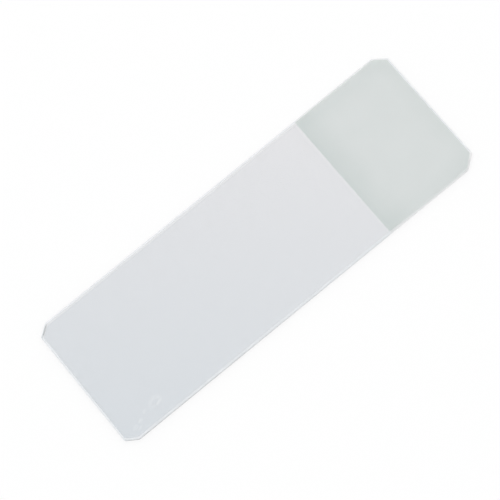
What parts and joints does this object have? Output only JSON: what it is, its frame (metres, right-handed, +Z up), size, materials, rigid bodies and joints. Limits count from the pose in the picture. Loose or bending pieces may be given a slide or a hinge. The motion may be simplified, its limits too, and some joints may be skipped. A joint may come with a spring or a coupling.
{
  "type": "microscope slide",
  "caption": "Flat rectangular glass slide with ground edges, clipped corners and one matt etched end for pencil notes.",
  "frame": {"origin": "middle of the underside, which lies at Z = 0", "axes": "+X along the slide towards the etched end, +Y across it, +Z up out of the etched face"},
  "size_m": [0.076, 0.026, 0.001],
  "materials": {
    "soda_lime_glass": "polished faces, fine ground edges, one end etched matt on the upper face"
  },
  "bodies": {
    "root": {"glass_slide": "soda_lime_glass"}
  },
  "joints": []
}
